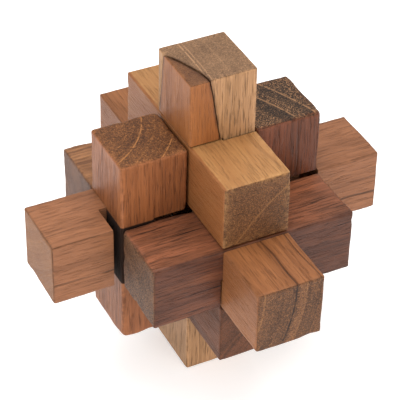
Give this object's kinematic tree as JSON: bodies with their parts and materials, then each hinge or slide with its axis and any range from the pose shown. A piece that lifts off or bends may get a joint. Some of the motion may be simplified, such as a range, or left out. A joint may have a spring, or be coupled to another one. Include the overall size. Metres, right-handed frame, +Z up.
{
  "type": "wooden burr puzzle",
  "caption": "Interlocking burr puzzle of square wooden sticks in three crossing rows, with a key crossbar that slides half a stick to the left.",
  "frame": {"origin": "middle of the long upright's square foot face, on the table", "axes": "+Z up along the long upright; +X along the crossbars, to the right; +Y along the fore bars, away from the front"},
  "size_m": [0.0966, 0.0966, 0.0966],
  "materials": {
    "wood_grey_tan": "satin",
    "wood_orange_patch": "satin",
    "wood_orange": "satin",
    "wood_dark_red": "satin",
    "wood_medium": "satin",
    "wood_dark_streaked": "satin",
    "wood_brown_streaked": "satin",
    "wood_medium_brown": "satin",
    "wood_light_golden": "satin",
    "wood_red_brown": "satin"
  },
  "bodies": {
    "cluster": {"long_upright": "wood_grey_tan", "corner_patch": "wood_orange_patch", "right_upright": "wood_dark_red", "front_crossbar": "wood_dark_streaked", "back_crossbar": "wood_brown_streaked", "long_fore_bar": "wood_medium_brown", "upper_fore_bar": "wood_light_golden", "lower_fore_bar": "wood_red_brown"},
    "key": {"key_crossbar": "wood_medium"},
    "left_stick": {"left_upright": "wood_orange"}
  },
  "joints": [
    {"name": "key_slide", "type": "slide", "parent": "cluster", "child": "key", "axis": [-1, 0, 0], "range_m": [0, 0.0097]},
    {"name": "left_upright_slide", "type": "slide", "parent": "cluster", "child": "left_stick", "axis": [-1, 0, 0], "range_m": [0, 0.0097]}
  ],
  "couplings": [
    {"joint": "left_upright_slide", "follows": "key_slide", "ratio": 1}
  ]
}
